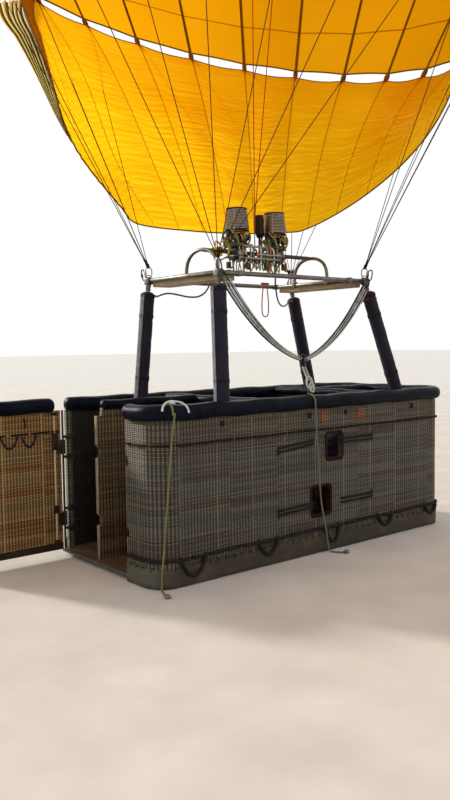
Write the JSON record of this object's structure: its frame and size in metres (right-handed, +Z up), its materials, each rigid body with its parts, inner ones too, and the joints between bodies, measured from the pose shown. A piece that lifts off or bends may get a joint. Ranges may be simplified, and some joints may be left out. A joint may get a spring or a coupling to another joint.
{
  "type": "hot air balloon",
  "caption": "Hot air balloon with gored envelope, parachute valve, scoop, flying wires, twin burner on a frame, padded uprights and a woven basket with an end door.",
  "frame": {"origin": "centre of lift, on the envelope's upright axis 19.0 m above the ground under the basket", "axes": "+Z up, the basket's long front wall faces -Y, its door end faces -X"},
  "size_m": [20.3222, 20.3222, 28.0689],
  "materials": {
    "cloth_yellow": "thin coated cloth, slightly glossy, lets light through",
    "load_tape": "woven polyester tape",
    "steel_wire": "stranded wire rope",
    "aluminium_tube": "satin, scuffed",
    "frame_panel": "tan board",
    "burner_black": "satin black",
    "burner_steel": "heat stained stainless coil",
    "nylon_rod": "satin",
    "sleeve_navy": "coated woven cloth over foam",
    "wicker": "weathered woven cane",
    "rim_leather": "padded, worn leather",
    "hide": "laced raw hide",
    "plywood": "marine plywood and hardwood runners",
    "webbing": "grey woven webbing",
    "rope_dark": "braided rope",
    "rope_cream": "laid rope, weathered",
    "hose_rubber": "smooth fuel hose",
    "line_red": "braided control line",
    "brass": "heat tinted",
    "tie_yellow": "woven tape"
  },
  "bodies": {
    "balloon": {"envelope_rear_right": "cloth_yellow", "envelope_rear_left": "cloth_yellow", "envelope_front_left": "cloth_yellow", "envelope_front_right": "cloth_yellow", "crown_tapes": "load_tape", "scoop": "cloth_yellow", "flying_wires_rear_right": "steel_wire", "flying_wires_rear_left": "steel_wire", "flying_wires_front_left": "steel_wire", "flying_wires_front_right": "steel_wire", "burner_frame": "aluminium_tube", "frame_panel_left": "frame_panel", "frame_panel_right": "frame_panel", "burner_block": "burner_black", "burner_can_left": "burner_steel", "burner_can_right": "burner_steel", "upright_rod_rear_right": "nylon_rod", "upright_rod_rear_left": "nylon_rod", "upright_rod_front_left": "nylon_rod", "upright_rod_front_right": "nylon_rod", "upright_sleeve_rear_right": "sleeve_navy", "upright_sleeve_rear_left": "sleeve_navy", "upright_sleeve_front_left": "sleeve_navy", "upright_sleeve_front_right": "sleeve_navy", "front_wall": "wicker", "rear_wall": "wicker", "right_end_wall": "wicker", "door_stub_wall": "wicker", "rim_pad": "rim_leather", "hide_band": "hide", "basket_floor": "plywood", "cross_partition_left": "wicker", "cross_partition_right": "wicker", "partition_left": "wicker", "partition_right": "wicker", "partition_pad_left": "rim_leather", "partition_pad_right": "rim_leather", "gas_cylinder_front_left": "sleeve_navy", "gas_cylinder_front_right": "sleeve_navy", "gas_cylinder_rear_left": "sleeve_navy", "gas_cylinder_rear_right": "sleeve_navy", "door_hinge_rod": "steel_wire", "restraint_bridle": "webbing", "fuel_hose_left": "hose_rubber", "fuel_hose_right": "hose_rubber", "hanging_rope_left": "rope_cream", "hanging_rope_right": "rope_cream"},
    "basket_door": {"door_panel": "wicker", "door_pad": "rim_leather"},
    "vent_panel": {"parachute_valve": "cloth_yellow"}
  },
  "joints": [
    {"name": "door_hinge", "type": "hinge", "parent": "balloon", "child": "basket_door", "pos_m": [-1.484, 0.614, -18.4], "axis": [0, 0, 1], "range_deg": [-60, 90]},
    {"name": "valve_slide", "type": "slide", "parent": "balloon", "child": "vent_panel", "axis": [0, 0, 1], "range_m": [-1.2, 0]}
  ]
}
